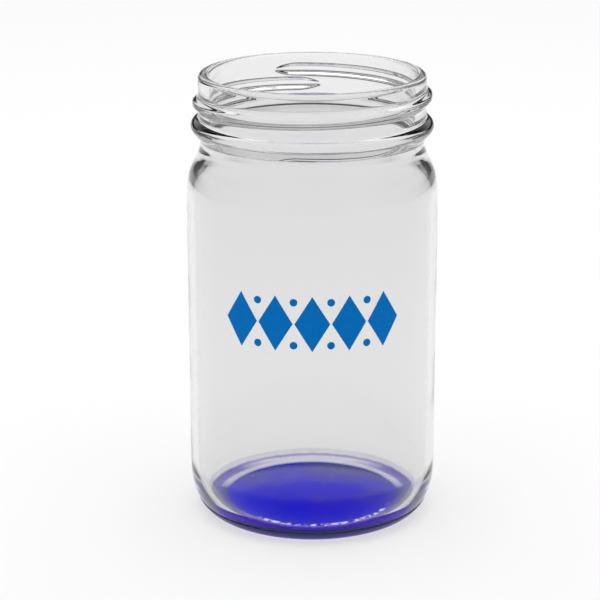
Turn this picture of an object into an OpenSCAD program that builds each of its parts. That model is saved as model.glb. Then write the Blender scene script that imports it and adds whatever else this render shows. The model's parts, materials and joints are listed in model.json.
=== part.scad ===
// Clear glass coin jar with an open screw-thread mouth, a translucent blue coating under
// its base and a printed band of lozenges on its front. Millimetres, +Z up, the printed
// side faces -Y. The origin is the centre of the face that the jar stands on.

/* [Body] */
// Overall height, from the standing face to the top of the lip
jar_h = 107.95; // [100:0.05:125]
// Diameter of the straight body
body_d = 59.8; // [58:0.1:64]
// Glass thickness of the straight body
wall_t = 1.8; // [1.6:0.1:2.6]
// Diameter of the ring that the glass rests on
rest_d = 48; // [46:0.1:50]
// Height of the rounded heel
heel_h = 11; // [8:0.1:13]
// Height of the rounded shoulder
shoulder_h = 15.6; // [14:0.1:17]
// Glass thickness above the resting ring
base_t = 2.2; // [2:0.1:4]
// Rise of the hollow in the underside
push_up = 1.3; // [0.7:0.1:1.6]

/* [Screw neck] */
// Diameter of the mouth
mouth_d = 48.6; // [46:0.1:49]
// Outer diameter of the neck between its threads
neck_d = 53.7; // [53:0.05:54.5]
// Outer diameter over the thread
thread_d = 56.5; // [55.6:0.05:57]
// Rise of the thread in one turn
thread_pitch = 3.5; // [3.2:0.05:4.25]
// Length of the thread in degrees round the neck
thread_sweep = 386; // [360:1:400]
// Outer diameter of the bead under the thread
bead_d = 57.4; // [56.6:0.1:58]

/* [Coating and print] */
// Thickness of the blue coating under the base
coat_t = 0.15; // [0.1:0.01:0.25]
// Height of the coating's edge on the heel
coat_h = 3; // [1:0.1:3.5]
// Thickness of the printed ink
ink_t = 0.08; // [0.05:0.01:0.15]
// Height of one printed lozenge
lozenge_h = 13.2; // [8:0.1:16]
// Number of printed lozenges
lozenges = 5; // [1:1:7]

/* [Hidden] */
$fn = 180;

// Radii of the outside
body_r = body_d / 2;
rest_r = rest_d / 2;
neck_r = neck_d / 2;
bead_r = bead_d / 2;
waist_r = neck_r - 0.3;
crease_r = neck_r - 0.4;
bead_round = 1.6;
bead_fillet = 1;
lip_r = 1.2;

// Heights of the outside, from the standing face up
heel_top = coat_t + heel_h;
bead_z = jar_h - 12.3;
waist_z = jar_h - 15.4;
crease_z = jar_h - 17.2;
crease_slope = 18;
shoulder_z = crease_z - shoulder_h;

// The inside
cavity_r = body_r - wall_t;
mouth_r = mouth_d / 2;
cavity_top = jar_h - 15.7;
bend_slope = 25.5;
floor_z = coat_t + base_t;
floor_rise = 0.8;
floor_r = 22.8;
cavity_heel_h = 10;

// The hollow underside, with a step up from the ring that the jar rests on
hollow_r = rest_r - 3.4;
hollow_step = 0.5;
step_w = 1.2;

// The thread runs clockwise and downwards from its upper end
thread_start = 111;
thread_z = jar_h - 5.2;
thread_half_w = 1.3;
thread_root = 0.7;
thread_end_sink = 0.2;
thread_taper = 24;
ring_step = 4;

// The print, centred on the front
print_z = 55.4;
lozenge_w = 8.2;
lozenge_turn = 16.5;
dot_r = 0.9;
dot_rise = 0.39 * lozenge_h;

// Elliptical arc about c, from angle a to angle b in n steps
function arc(c, rx, rz, a, b, n = 10) =
    [for (i = [0:n]) let (t = a + (b - a) * i / n) c + [rx * cos(t), rz * sin(t)]];

// Cubic curve from p to q with handles a and b
function bezier(p, a, b, q, n = 16) =
    [for (i = [0:n]) let (t = i / n, u = 1 - t)
        u * u * u * p + 3 * u * u * t * a + 3 * u * t * t * b + t * t * t * q];

// Shallow dome that rises by h from radius r to the axis, r first
function dome(r, z, h, n = 8) =
    [for (i = [0:n]) let (x = r * (1 - i / n)) [x, z + h * (1 - pow(x / r, 2))]];

function reversed(list) = [for (i = [len(list) - 1:-1:0]) list[i]];

function skip_first(list) = [for (i = [1:len(list) - 1]) list[i]];

// Underside of the glass, or of its coating with drop = coat_t, from the axis outwards
function underside(drop) =
    let (z = coat_t - drop, top = z + hollow_step, mid = hollow_r + step_w / 2)
    concat(reversed(dome(hollow_r, top, push_up - hollow_step)),
           skip_first(bezier([hollow_r, top], [mid, top], [mid, z], [hollow_r + step_w, z], 6)),
           [[rest_r, z]]);

// Heel up to angle top, grown outwards by grow
function heel(grow, top, n) =
    arc([rest_r, heel_top], body_r - rest_r + grow, heel_h + grow, -90, top, n);

// Shoulder from the body up to the crease under the neck
function shoulder() =
    bezier([body_r, shoulder_z], [body_r, shoulder_z + 12.2],
           [crease_r + 6.7 * sin(crease_slope), crease_z - 6.7 * cos(crease_slope)],
           [crease_r, crease_z]);

// Bead, from its foot on the waist: a cone below, a round edge and a fillet into the neck
function bead() =
    let (c = [bead_r - bead_round, bead_z], foot = [waist_r, waist_z], gap = foot - c,
         from = atan2(gap[1], gap[0]) + acos(bead_round / norm(gap)),
         fx = neck_r + bead_fillet - c[0],
         fz = sqrt(pow(bead_round + bead_fillet, 2) - fx * fx), to = atan2(fz, fx))
    concat([foot], arc(c, bead_round, bead_round, from, to, 10),
           skip_first(arc(c + [fx, fz], bead_fillet, bead_fillet, to - 180, -180, 4)));

// Inside of the shoulder, from the mouth's wall down to the body's
function cavity_shoulder() =
    let (along = [sin(bend_slope), -cos(bend_slope)], bend = [mouth_r + 1, cavity_top - 5])
    concat(bezier([mouth_r, cavity_top], [mouth_r, cavity_top - 2.25],
                  bend - 2.25 * along, bend, 7),
           skip_first(bezier(bend, bend + 3.57 * along, [cavity_r, shoulder_z + 9.19],
                             [cavity_r, shoulder_z], 14)));

module glass_body() {
    outside = concat(
        underside(0),
        skip_first(heel(0, 0, 14)),
        shoulder(),
        bead(),
        arc([neck_r - lip_r, jar_h - lip_r], lip_r, lip_r, 0, 90, 8));
    inside = concat(
        arc([mouth_r + lip_r, jar_h - lip_r], lip_r, lip_r, 90, 180, 8),
        cavity_shoulder(),
        arc([floor_r, floor_z + cavity_heel_h], cavity_r - floor_r, cavity_heel_h, 0, -90, 14),
        skip_first(dome(floor_r, floor_z, floor_rise)));
    rotate_extrude() polygon(concat(outside, inside));
}

// How far the thread stands out, as a share, at angle a from its upper end
function thread_share(a) =
    let (t = min(1, min(a, thread_sweep - a) / thread_taper)) sqrt(max(0, 1 - pow(1 - t, 2)));

// Half-oval section of the thread at angle a, with its flat side sunk in the wall
function thread_ring(a) =
    let (s = thread_share(a), w = thread_half_w * (0.3 + 0.7 * s),
         h = (thread_d - neck_d) / 2 * s - thread_end_sink * (1 - s),
         turn = thread_start - a,
         z = thread_z + thread_pitch * turn / 360)
    [for (i = [0:6]) let (q = -90 + 30 * i, r = neck_r - thread_root + (thread_root + h) * cos(q))
        [r * cos(turn), r * sin(turn), z + w * sin(q)]];

module thread() {
    steps = ceil(thread_sweep / ring_step);
    rings = [for (i = [0:steps]) thread_ring(thread_sweep * i / steps)];
    n = len(rings[0]);
    points = [for (ring = rings) for (p = ring) p];
    sides = [for (i = [0:steps - 1]) for (j = [0:n - 1]) let (k = (j + 1) % n)
        [i * n + j, (i + 1) * n + j, (i + 1) * n + k, i * n + k]];
    polyhedron(points, concat(sides, [[for (j = [0:n - 1]) j],
                                      [for (j = [n - 1:-1:0]) steps * n + j]]), convexity = 6);
}

module glass_jar() {
    color([0.86, 0.89, 0.90, 0.35]) union() {
        glass_body();
        thread();
    }
}

// Thin blue skin in contact with the underside and the lower heel
module base_coating() {
    edge = -asin((heel_top - coat_h) / heel_h);
    skin = concat(underside(coat_t), skip_first(heel(coat_t, edge, 8)));
    glass = concat(underside(0), skip_first(heel(0, edge, 8)));
    color([0.13, 0.08, 0.75, 0.8]) rotate_extrude() polygon(concat(skin, reversed(glass)));
}

// Cuts flat shapes drawn in X and Z out of the ink layer, at angle turn round the body
module inked(turn) {
    rotate([0, 0, turn]) intersection() {
        translate([0, 0, print_z - lozenge_h]) difference() {
            cylinder(r = body_r + ink_t, h = 2 * lozenge_h);
            translate([0, 0, -1]) cylinder(r = body_r, h = 2 * lozenge_h + 2);
        }
        translate([0, 0, print_z]) rotate([90, 0, 0]) linear_extrude(body_r + 1) children();
    }
}

module front_print() {
    color([0, 0.42, 0.72]) {
        for (i = [0:lozenges - 1])
            inked((i - (lozenges - 1) / 2) * lozenge_turn)
                polygon([[lozenge_w / 2, 0], [0, lozenge_h / 2], [-lozenge_w / 2, 0], [0, -lozenge_h / 2]]);
        if (lozenges > 1)
            for (i = [0:lozenges - 2], side = [-1, 1])
                inked((i - lozenges / 2 + 1) * lozenge_turn)
                    translate([0, side * dot_rise]) circle(r = dot_r);
    }
}

glass_jar();
base_coating();
front_print();
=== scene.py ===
"""A clear glass coin jar with a blue coating under its base and a printed band of lozenges.

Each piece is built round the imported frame: its heights and radii start from the frame's own boxes.
Outlines are in millimetres and degrees, and become metres when a mesh is made.
"""
import json
import math

import bpy
import numpy as np
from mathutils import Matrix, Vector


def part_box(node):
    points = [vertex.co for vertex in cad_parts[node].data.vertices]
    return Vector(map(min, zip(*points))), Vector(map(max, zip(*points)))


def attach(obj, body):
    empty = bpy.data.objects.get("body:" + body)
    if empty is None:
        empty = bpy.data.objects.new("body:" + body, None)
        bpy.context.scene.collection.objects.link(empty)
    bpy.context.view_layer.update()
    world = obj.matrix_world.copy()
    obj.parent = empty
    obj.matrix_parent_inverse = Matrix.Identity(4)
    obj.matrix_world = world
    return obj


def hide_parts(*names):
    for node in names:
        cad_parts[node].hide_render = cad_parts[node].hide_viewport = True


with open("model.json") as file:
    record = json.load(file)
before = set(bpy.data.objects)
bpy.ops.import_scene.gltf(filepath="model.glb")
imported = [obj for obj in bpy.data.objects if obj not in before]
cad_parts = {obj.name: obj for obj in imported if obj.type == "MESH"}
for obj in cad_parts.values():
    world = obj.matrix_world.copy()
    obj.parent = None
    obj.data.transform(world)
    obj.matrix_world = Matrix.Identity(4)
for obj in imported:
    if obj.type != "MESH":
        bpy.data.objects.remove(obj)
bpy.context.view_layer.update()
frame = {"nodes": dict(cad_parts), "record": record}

MM = 0.001
TURN = 2 * math.pi

# ---------------------------------------------------------------- sizes, in millimetres
jar_low, jar_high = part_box("glass_jar")
coat_low, coat_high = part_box("base_coating")
mouth = next(m for m in frame["record"]["mounts"] if m["name"] == "mouth")

JAR_TOP = jar_high.z / MM
GLASS_BASE = jar_low.z / MM
BODY_R = (jar_high.x - jar_low.x) / 2 / MM
COAT_TOP = coat_high.z / MM
COAT_T = GLASS_BASE - coat_low.z / MM
MOUTH_R = mouth["dims"]["r_mm"]

# underside: a pushed-up hollow, a step, and the flat ring that the jar rests on
PUSH_UP = 1.3
HOLLOW_R, HOLLOW_STEP, STEP_W = 20.6, 0.5, 1.2
REST_R = 24.0

# outside, from the heel up to the lip. A pull is the length of a curve's handle
HEEL_H = 11.0
HEEL_TOP = GLASS_BASE + HEEL_H
SHOULDER_H, SHOULDER_PULL = 15.6, 12.2
CREASE_R, CREASE_Z = 26.45, JAR_TOP - 17.2
CREASE_SLOPE, CREASE_PULL = 18.0, 6.7
SHOULDER_Z = CREASE_Z - SHOULDER_H
WAIST_R, WAIST_Z = 26.55, JAR_TOP - 15.4
BEAD_R, BEAD_Z = 28.7, JAR_TOP - 12.3
BEAD_ROUND, BEAD_FILLET = 1.6, 1.0
NECK_R = 26.85
LIP_R = 1.2

# inside, from the mouth down to the floor
CAVITY_TOP = JAR_TOP - 15.7
BEND_OUT, BEND_DROP, BEND_SLOPE = 1.0, 5.0, 25.5
UPPER_PULL, BEND_PULL, CAVITY_PULL = 2.25, 3.57, 9.19
WALL_T = 1.8
CAVITY_R = BODY_R - WALL_T
CAVITY_HEEL_H = 10.0
FLOOR_Z = GLASS_BASE + 2.2
FLOOR_R, FLOOR_RISE = 22.8, 0.8

# how deep the coating's upper side is sunk in the glass, so that it is seen as bonded
COAT_SINK = 0.03

# thread: it runs clockwise and downwards from its upper end
THREAD_START, THREAD_SWEEP = 111.0, 386.0
THREAD_PITCH = 3.5
THREAD_Z = JAR_TOP - 5.2
THREAD_H, THREAD_HALF_W = 1.4, 1.3
THREAD_SQUARE, THREAD_STEEP = 3.2, 1.05
THREAD_TAPER, THREAD_NOSE, THREAD_TIP_W = 13.0, 0.8, 0.15

SPOKES = 224

# ---------------------------------------------------------------- looks
BLACK, WHITE = (0, 0, 0), (1, 1, 1)

# glass: (share of TINT_H, light passed), the bump of its ripples, and how bright it mirrors
TINT_H = 0.125
GLASS_TINT = ((0.2, 0.872), (0.5, 0.866), (0.8, 0.85), (1, 0.862))
RIPPLE = 0.05
SPEC_TINT = 0.15

# coating's disc, from deep blue at the front left to grey at the back right; the grey is a painted
# reflection of the pale wall
DISC_COLOUR_AND_REFLECTION = ((0.2, (0.0, 0.0, 0.75)), (0.5, (0.018, 0.0, 0.72)), (0.68, (0.045, 0.035, 0.5)),
        (0.88, (0.08, 0.09, 0.3)), (1, (0.14, 0.16, 0.36)))
# coating's ring: (millimetres outwards from the step, colour), one row for each part of the ring
# round the jar. The rows paint how light falls: pale painted reflection at the back and at the top
# of the heel, and a dark band of painted shade at the front
RING_FRONT = ((0, (0.25, 0.2, 0.75)), (1.6, (0.16, 0.1, 0.6)), (2.2, (0.015, 0.02, 0.08)),
              (4.1, (0.015, 0.02, 0.08)), (4.5, (0.04, 0, 0.6)), (5.2, (0.05, 0, 0.5)))
RING_QUARTER = ((0, (0.06, 0.05, 0.44)), (2.2, (0.08, 0.07, 0.46)), (3.4, (0.13, 0.13, 0.26)),
                (5, (0.16, 0.16, 0.2)))
RING_SIDES = ((0, (0.05, 0.05, 0.34)), (1.2, (0.08, 0.08, 0.42)), (4, (0.12, 0.11, 0.5)),
              (5.4, (0.18, 0.16, 0.5)), (5.8, (0.75, 0.75, 0.78)))
RING_BACK = ((0, (0.4, 0.4, 0.56)), (0.8, (0.8, 0.8, 0.88)), (2, (0.8, 0.8, 0.88)),
             (3, (0.33, 0.3, 0.65)), (5.2, (0.22, 0.18, 0.52)), (5.7, (0.85, 0.85, 0.86)))
RING_FAR = ((0, (0.55, 0.56, 0.66)), (1.2, (0.82, 0.82, 0.9)), (4.6, (0.82, 0.8, 0.9)),
            (5.2, (0.4, 0.35, 0.58)), (5.7, (0.85, 0.85, 0.86)))
# where each row fades in over the one before it: Y in millimetres, from and to
RING_PARTS = ((-15, -12, RING_QUARTER), (-4, -1, RING_SIDES), (2, 10, RING_BACK),
              (17, 23, RING_FAR))
# painted light: how brightly the coating's inner face glows with its own colour, though it is no
# lamp
COAT_PAINTED_GLOW = 0.5
# painted glints, emitted white: their brightness, and their specks for each metre
PAINTED_GLINT, PAINTED_GLINT_SIZE = 1.6, 900

# coating's outer face: its heel by height in millimetres, with a bright band of painted light along
# its bottom edge, and its underside
FOOT_COLOUR_AND_LIGHT = ((0, (0.4, 0.08, 0.95)), (0.7, (0.25, 0.1, 0.65)), (1.1, (0.03, 0.03, 0.2)),
        (3, (0.02, 0.02, 0.14)))
UNDERSIDE = ((0.35, (0.012, 0.008, 0.34)), (0.7, (0.03, 0.015, 0.5)))

INK = ((0.3, (0, 0.17, 0.55)), (0.7, (0, 0.19, 0.6)))

# studio: (sine of the height above the horizon, shade of the wall there)
WALL = ((0, 0.07), (0.14, 0.09), (0.2, 0.8), (0.27, 0.8), (0.5, 0.04), (1, 0.04))
LAMP, LAMP_SIZE, LAMP_AT = 34, 2.0, (0, 0.2, 1.3)
FLOOR_HALF, FLOOR_ALBEDO, FLOOR_GLOW = 8.0, 0.3, 0.62

# camera: in millimetres, and radians below level
CAMERA_Y, CAMERA_Z, CAMERA_DIP = -495.8, 204.9, 0.299
LENS, SHIFT = 128.7, -0.0205


# ---------------------------------------------------------------- outlines
def arc(centre, rx, rz, start, end, steps):
    """Elliptical arc from angle start to angle end, in degrees."""
    t = np.radians(np.linspace(start, end, steps + 1))
    return np.c_[centre[0] + rx * np.cos(t), centre[1] + rz * np.sin(t)]


def bezier(p, a, b, q, steps):
    """Cubic curve from p to q with handles a and b."""
    t = np.linspace(0, 1, steps + 1)[:, None]
    p, a, b, q = (np.array(v) for v in (p, a, b, q))
    return (1 - t)**3 * p + 3 * (1 - t)**2 * t * a + 3 * (1 - t) * t**2 * b + t**3 * q


def line(p, q, steps):
    """Straight stretch without its end points."""
    t = np.linspace(0, 1, steps + 2)[1:-1, None]
    return (1 - t) * np.array(p) + t * np.array(q)


def dome(radius, z, rise, steps=24):
    """Shallow dome from its edge to just short of the axis."""
    r = np.linspace(radius, radius / steps / 4, steps + 1)
    return np.c_[r, z + rise * (1 - (r / radius)**2)]


def underside(drop=0):
    """Underside from its middle to the outer edge of the ring that the jar rests on."""
    z = GLASS_BASE - drop
    hollow = dome(HOLLOW_R, z + HOLLOW_STEP, PUSH_UP - HOLLOW_STEP)[::-1]
    # S-shaped, and level at both ends
    step = bezier((HOLLOW_R, z + HOLLOW_STEP), (HOLLOW_R + STEP_W / 2, z + HOLLOW_STEP),
                  (HOLLOW_R + STEP_W / 2, z), (HOLLOW_R + STEP_W, z), 10)[1:]
    return np.r_[hollow, step, line(step[-1], (REST_R, z), 6)]


def bead_outline():
    """Bead under the screw thread: conical below, round at its edge, filleted into the neck."""
    centre = np.array((BEAD_R - BEAD_ROUND, BEAD_Z))
    foot = np.array((WAIST_R, WAIST_Z))
    gap = foot - centre
    start = math.atan2(gap[1], gap[0]) + math.acos(BEAD_ROUND / math.hypot(*gap))
    touch = centre + BEAD_ROUND * np.array((math.cos(start), math.sin(start)))
    # the fillet is an arc outside the neck that touches the neck and the bead's round edge
    fillet_r = NECK_R + BEAD_FILLET
    fillet_z = BEAD_Z + math.sqrt((BEAD_ROUND + BEAD_FILLET)**2 - (fillet_r - centre[0])**2)
    to_fillet = math.degrees(math.atan2(fillet_z - centre[1], fillet_r - centre[0]))
    edge = arc(centre, BEAD_ROUND, BEAD_ROUND, math.degrees(start), to_fillet, 24)
    fillet = arc((fillet_r, fillet_z), BEAD_FILLET, BEAD_FILLET, to_fillet - 180, -180, 12)
    return np.r_[[foot], line(foot, touch, 8), edge, fillet[1:]]


def outside():
    """Outline of the glass from the middle of its underside up to the top of the lip."""
    heel = arc((REST_R, HEEL_TOP), BODY_R - REST_R, HEEL_H, -90, 0, 40)
    slope = math.radians(CREASE_SLOPE)
    crease = (CREASE_R, CREASE_Z)
    shoulder = bezier((BODY_R, SHOULDER_Z), (BODY_R, SHOULDER_Z + SHOULDER_PULL),
                      (CREASE_R + CREASE_PULL * math.sin(slope),
                       CREASE_Z - CREASE_PULL * math.cos(slope)), crease, 48)
    bead = bead_outline()
    lip = arc((NECK_R - LIP_R, JAR_TOP - LIP_R), LIP_R, LIP_R, 0, 90, 14)
    return np.r_[underside(), heel, line(heel[-1], shoulder[0], 6), shoulder,
                 line(crease, bead[0], 4), bead, line(bead[-1], lip[0], 70), lip]


def inside():
    """Outline of the cavity from the top of the lip down to the middle of its floor."""
    lip = arc((MOUTH_R + LIP_R, JAR_TOP - LIP_R), LIP_R, LIP_R, 90, 180, 14)
    slope = math.radians(BEND_SLOPE)
    along = np.array((math.sin(slope), -math.cos(slope)))
    bend = np.array((MOUTH_R + BEND_OUT, CAVITY_TOP - BEND_DROP))
    upper = bezier((MOUTH_R, CAVITY_TOP), (MOUTH_R, CAVITY_TOP - UPPER_PULL),
                   bend - UPPER_PULL * along, bend, 14)
    lower = bezier(bend, bend + BEND_PULL * along,
                   (CAVITY_R, SHOULDER_Z + CAVITY_PULL), (CAVITY_R, SHOULDER_Z), 40)
    shoulder = np.r_[upper, lower[1:]]
    heel = arc((FLOOR_R, FLOOR_Z + CAVITY_HEEL_H), CAVITY_R - FLOOR_R, CAVITY_HEEL_H, 0, -90, 40)
    return np.r_[lip, line(lip[-1], shoulder[0], 16), shoulder,
                 line(shoulder[-1], heel[0], 6), heel, dome(FLOOR_R, FLOOR_Z, FLOOR_RISE)[1:]]


def thread_rise(turn, z):
    """How far the thread stands out of the neck at angle turn in degrees and height z."""
    rise = np.zeros(np.broadcast(turn, z).shape)
    for lap in (-2, -1, 0, 1):
        at = turn + 360 * lap
        along = THREAD_START - at
        on = (along > 0) & (along < THREAD_SWEEP)
        near_end = np.clip(np.minimum(along, THREAD_SWEEP - along) / THREAD_TAPER, 0, 1)
        share = np.sin(near_end * math.pi / 2)**THREAD_NOSE
        half_w = THREAD_HALF_W * (THREAD_TIP_W + (1 - THREAD_TIP_W) * share)
        across = (z - THREAD_Z - THREAD_PITCH * at / 360) / half_w
        ridge = THREAD_H * share * np.exp(-np.abs(across * THREAD_STEEP)**THREAD_SQUARE)
        rise = np.maximum(rise, np.where(on, ridge, 0))
    return rise


# ---------------------------------------------------------------- meshes
def mesh_object(name, verts, faces, body="root"):
    """Smooth mesh object that rides on the body. verts are in millimetres."""
    mesh = bpy.data.meshes.new(name)
    mesh.from_pydata((np.asarray(verts) * MM).tolist(), [], faces)
    mesh.update()
    obj = bpy.data.objects.new(name, mesh)
    bpy.context.scene.collection.objects.link(obj)
    mesh.shade_smooth()
    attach(obj, body)
    return obj


def lathe(radii, heights, first_z, last_z):
    """Closed shell of revolution, with fans to first_z and last_z on the axis at its two ends.

    radii[i][j] is the radius of ring i at spoke j.
    """
    rings, spokes = radii.shape
    turn = np.arange(spokes) * TURN / spokes
    x, y = radii * np.cos(turn), radii * np.sin(turn)
    verts = np.stack([x, y, np.broadcast_to(heights, radii.shape)], axis=-1).reshape(-1, 3)
    first, last = len(verts), len(verts) + 1
    start = len(verts) - spokes
    faces = []
    for i in range(rings - 1):
        for j in range(spokes):
            k = (j + 1) % spokes
            low, high = i * spokes, (i + 1) * spokes
            faces.append((low + j, low + k, high + k, high + j))
    for j in range(spokes):
        k = (j + 1) % spokes
        faces.append((first, k, j))
        faces.append((last, start + j, start + k))
    return np.r_[verts, [[0, 0, first_z], [0, 0, last_z]]], faces


def spun(outline):
    """Radii and heights of an outline at every spoke."""
    return np.repeat(outline[:, :1], SPOKES, axis=1), np.repeat(outline[:, 1:], SPOKES, axis=1)


def make_glass():
    out = outside()
    radii, heights = spun(np.r_[out, inside()])
    turn = np.degrees(np.arange(SPOKES) * TURN / SPOKES)
    n = len(out)
    screw = (out[:, 0] < NECK_R + 0.01) & (out[:, 1] > BEAD_Z)
    radii[:n][screw] += thread_rise(turn[None, :], heights[:n][screw])
    verts, faces = lathe(radii, heights, GLASS_BASE + PUSH_UP, FLOOR_Z + FLOOR_RISE)
    return mesh_object("glass_jar_visual", verts, faces)


def make_coating():
    """Blue skin under the glass: its outer side first, and then the side bonded to the glass."""
    edge = -math.degrees(math.asin((HEEL_TOP - COAT_TOP) / HEEL_H))

    def skin(grow):
        heel = arc((REST_R, HEEL_TOP), BODY_R - REST_R + grow, HEEL_H + grow, -90, edge, 24)
        return np.r_[underside(grow), heel]

    radii, heights = spun(np.r_[skin(COAT_T), skin(-COAT_SINK)[::-1]])
    verts, faces = lathe(radii, heights, GLASS_BASE - COAT_T + PUSH_UP,
                         GLASS_BASE + COAT_SINK + PUSH_UP)
    return mesh_object("base_coating_visual", verts, faces)


# ---------------------------------------------------------------- nodes
def material(name, **inputs):
    """New material with a Principled shader. inputs set its sockets by name."""
    mat = bpy.data.materials.new(name)
    mat.use_nodes = True
    shader = mat.node_tree.nodes["Principled BSDF"]
    for key, value in inputs.items():
        shader.inputs[key.replace("_", " ")].default_value = value
    return mat, mat.node_tree, shader


def node(tree, kind, **values):
    """New node. values set its sockets by name, or its properties where no socket has the name."""
    made = tree.nodes.new(kind)
    for key, value in values.items():
        name = key.replace("_", " ")
        if name in made.inputs:
            made.inputs[name].default_value = value
        else:
            setattr(made, key, value)
    return made


def place(tree):
    """Where a point lies in the object, in metres."""
    coord = tree.nodes.get("coord") or node(tree, "ShaderNodeTexCoord")
    coord.name = "coord"
    return coord.outputs["Object"]


def from_axis(tree):
    """X, Y, Z and the distance from the jar's axis, in metres."""
    split = node(tree, "ShaderNodeSeparateXYZ")
    tree.links.new(place(tree), split.inputs[0])
    flat = node(tree, "ShaderNodeCombineXYZ")
    tree.links.new(split.outputs["X"], flat.inputs["X"])
    tree.links.new(split.outputs["Y"], flat.inputs["Y"])
    radius = node(tree, "ShaderNodeVectorMath", operation="LENGTH")
    tree.links.new(flat.outputs[0], radius.inputs[0])
    return *split.outputs, radius.outputs["Value"]


def noise(tree, scale, detail=2.0):
    """Noise in object space. Its scale is in features per metre."""
    made = node(tree, "ShaderNodeTexNoise", Scale=scale, Detail=detail)
    tree.links.new(place(tree), made.inputs["Vector"])
    return made.outputs["Fac"]


def bump(tree, height, strength, distance):
    made = node(tree, "ShaderNodeBump", Strength=strength, Distance=distance)
    tree.links.new(height, made.inputs["Height"])
    return made.outputs["Normal"]


def math_node(tree, operation, *values):
    """One calculation on numbers and sockets."""
    made = node(tree, "ShaderNodeMath", operation=operation)
    for socket, value in zip(made.inputs, values):
        if isinstance(value, (int, float)):
            socket.default_value = value
        else:
            tree.links.new(value, socket)
    return made.outputs[0]


def ramp(tree, fac, *stops):
    """Colour ramp of (position, colour) stops."""
    made = node(tree, "ShaderNodeValToRGB")
    points = made.color_ramp.elements
    while len(points) < len(stops):
        points.new(0.5)
    for point, (at, colour) in zip(points, stops):
        point.position = at
        point.color = (*colour, 1)
    tree.links.new(fac, made.inputs["Fac"])
    return made.outputs["Color"]


def ramp_mm(tree, metres, low, high, *stops):
    """Colour ramp over a length, whose stops are in millimetres between low and high."""
    span = high - low
    fac = math_node(tree, "MULTIPLY_ADD", metres, 1 / MM / span, -low / span)
    return ramp(tree, fac, *[((at - low) / span, colour) for at, colour in stops])


def blend_colour(tree, share, first, second):
    mix = node(tree, "ShaderNodeMix", data_type="RGBA")
    tree.links.new(share, mix.inputs["Factor"])
    tree.links.new(first, mix.inputs[6])
    tree.links.new(second, mix.inputs[7])
    return mix.outputs[2]


# ---------------------------------------------------------------- materials
def blue_lacquer():
    """Inner face of the coating, as it shows through the glass, with light painted in: deep blue at
    the front left of the disc and a painted reflection that greys it towards the back, painted light
    and shade that change round the ring, pale painted reflection at the back and on the heel, and a
    painted glow over the whole face."""
    # painted light: the whole face glows with its own colour
    mat, tree, shader = material("blue_lacquer", Roughness=0.5, Specular_IOR_Level=0,
                                 Emission_Strength=COAT_PAINTED_GLOW)
    side, depth, _, radius = from_axis(tree)
    ragged = math_node(tree, "MULTIPLY", noise(tree, 500, 3), 0.0006)
    radius = math_node(tree, "ADD", radius, ragged)
    step = HOLLOW_R + STEP_W

    def by_radius(*stops):
        return ramp_mm(tree, radius, 0, 30, *[(step + out, colour) for out, colour in stops])

    def by_place(metres, *stops):
        return ramp_mm(tree, metres, -30, 30, *stops)

    # painted reflection: the disc turns greyer towards the back right
    reflection_tilt = math_node(tree, "ADD", math_node(tree, "MULTIPLY", side, 6.0),
                     math_node(tree, "MULTIPLY", depth, 14.0))
    disc = ramp(tree, math_node(tree, "ADD", reflection_tilt, noise(tree, 55, 3)), *DISC_COLOUR_AND_REFLECTION)
    # painted light and shade: the ring's colour changes round the jar, one row for each part
    ring = by_radius(*RING_FRONT)
    for start, end, stops in RING_PARTS:
        share = by_place(depth, (start, BLACK), (end, WHITE))
        ring = blend_colour(tree, share, ring, by_radius(*stops))
    colour = blend_colour(tree, by_radius((-0.3, BLACK), (0.2, WHITE)), disc, ring)
    tree.links.new(colour, shader.inputs["Base Color"])

    # painted highlights: white glints emitted along the edge of the step, at the front
    painted_glint = by_radius((-0.8, BLACK), (-0.6, WHITE), (0.2, WHITE), (0.5, BLACK))
    for share in (by_place(depth, (-12, WHITE), (-8.4, BLACK)),
                  by_place(side, (-13.2, BLACK), (-11.4, WHITE), (19.8, WHITE), (21.6, BLACK)),
                  ramp(tree, noise(tree, PAINTED_GLINT_SIZE), (0.5, BLACK), (0.56, WHITE))):
        painted_glint = math_node(tree, "MULTIPLY", painted_glint, share)
    painted_glint_white = node(tree, "ShaderNodeRGB")
    painted_glint_white.outputs[0].default_value = (PAINTED_GLINT, PAINTED_GLINT, PAINTED_GLINT, 1)
    tree.links.new(blend_colour(tree, painted_glint, colour, painted_glint_white.outputs[0]),
                   shader.inputs["Emission Color"])
    return mat


def blue_coating():
    """Outer face of the coating: dark glossy lacquer with a slight orange peel, and a band of
    painted light along the foot of the heel."""
    mat, tree, shader = material("blue_coating", Roughness=0.25, Specular_IOR_Level=0.15)
    _, _, z, radius = from_axis(tree)
    ragged = math_node(tree, "MULTIPLY", noise(tree, 300, 3), 0.0003)
    # painted light: a bright violet band along the bottom edge of the heel
    foot = ramp_mm(tree, math_node(tree, "ADD", z, ragged), 0, 4, *FOOT_COLOUR_AND_LIGHT)
    under = ramp(tree, noise(tree, 60, 3), *UNDERSIDE)
    share = ramp_mm(tree, radius, 0, 30, (REST_R - 0.4, BLACK), (REST_R, WHITE))
    tree.links.new(blend_colour(tree, share, under, foot), shader.inputs["Base Color"])
    tree.links.new(bump(tree, noise(tree, 2500), 0.3, 0.00005), shader.inputs["Normal"])
    return mat


def blue_ink():
    """Screen-printed ink: nearly matt, with a fine grain."""
    mat, tree, shader = material("blue_ink", Roughness=0.45, Specular_IOR_Level=0.04)
    tree.links.new(ramp(tree, noise(tree, 900, 4), *INK), shader.inputs["Base Color"])
    tree.links.new(bump(tree, noise(tree, 4000, 3), 0.15, 0.00002), shader.inputs["Normal"])
    return mat


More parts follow.
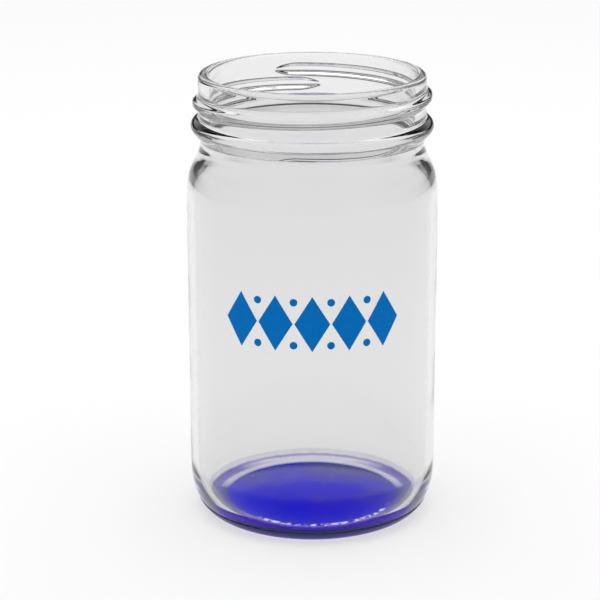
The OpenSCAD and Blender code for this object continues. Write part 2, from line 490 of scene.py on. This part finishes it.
def clear_glass():
    """Pressed glass: faint ripples, and a slightly uneven tint that deepens up the neck."""
    mat, tree, shader = material("clear_glass", IOR=1.52, Roughness=0.0, Transmission_Weight=1,
                                 Specular_Tint=(SPEC_TINT, SPEC_TINT, SPEC_TINT, 1))
    height = math_node(tree, "MULTIPLY", from_axis(tree)[2], 1 / TINT_H)
    height = math_node(tree, "ADD", height, math_node(tree, "MULTIPLY", noise(tree, 30), 0.25))
    colour = ramp(tree, height, *[(at, (t, t, t + 0.002)) for at, t in GLASS_TINT])
    tree.links.new(colour, shader.inputs["Base Color"])
    tree.links.new(bump(tree, noise(tree, 60, 1), RIPPLE, 0.001), shader.inputs["Normal"])
    return mat


# ---------------------------------------------------------------- studio
def make_world():
    """A pale wall round a dark room, with a dark gap at the floor, and a softbox above."""
    world = bpy.data.worlds.new("studio")
    bpy.context.scene.world = world
    world.use_nodes = True
    tree = world.node_tree
    coord = node(tree, "ShaderNodeTexCoord")
    split = node(tree, "ShaderNodeSeparateXYZ")
    tree.links.new(coord.outputs["Generated"], split.inputs[0])
    wall = ramp(tree, split.outputs["Z"], *[(height, (shade,) * 3) for height, shade in WALL])
    tree.links.new(wall, tree.nodes["Background"].inputs["Color"])
    lamp = bpy.data.lights.new("softbox", "AREA")
    lamp.shape = "RECTANGLE"
    lamp.size = lamp.size_y = LAMP_SIZE
    lamp.energy = LAMP
    box = bpy.data.objects.new("softbox", lamp)
    bpy.context.scene.collection.objects.link(box)
    box.location = LAMP_AT


def make_floor():
    """A white floor that glows a little, like a light table."""
    mesh = bpy.data.meshes.new("floor")
    corners = [(-1, -1), (1, -1), (1, 1), (-1, 1)]
    mesh.from_pydata([(x * FLOOR_HALF, y * FLOOR_HALF, 0) for x, y in corners], [],
                     [(0, 1, 2, 3)])
    floor = bpy.data.objects.new("floor", mesh)
    bpy.context.scene.collection.objects.link(floor)
    mat, _, _ = material("floor_white", Roughness=0.9, Specular_IOR_Level=0,
                         Base_Color=(FLOOR_ALBEDO, FLOOR_ALBEDO, FLOOR_ALBEDO, 1),
                         Emission_Color=(1, 1, 1, 1), Emission_Strength=FLOOR_GLOW)
    mesh.materials.append(mat)


def make_camera():
    data = bpy.data.cameras.new("camera")
    cam = bpy.data.objects.new("camera", data)
    bpy.context.scene.collection.objects.link(cam)
    data.sensor_width = 36
    data.lens = LENS
    data.shift_x = SHIFT
    cam.location = (0, CAMERA_Y * MM, CAMERA_Z * MM)
    cam.rotation_euler = (math.pi / 2 - CAMERA_DIP, 0, 0)
    bpy.context.scene.camera = cam


# ---------------------------------------------------------------- scene
bpy.context.scene.view_settings.view_transform = "Standard"
make_camera()
make_world()
make_floor()

glass = make_glass()
glass.data.materials.append(clear_glass())
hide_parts("glass_jar")

coating = make_coating()
coating.data.materials.append(blue_coating())
coating.data.materials.append(blue_lacquer())
# the first half of its points lie on the outer side, and the last two on the axis
bonded = (len(coating.data.vertices) - 2) // 2
for face in coating.data.polygons:
    face.material_index = int(min(face.vertices) >= bonded)
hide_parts("base_coating")

ink = frame["nodes"]["front_print"]
ink.data.materials.clear()
ink.data.materials.append(blue_ink())
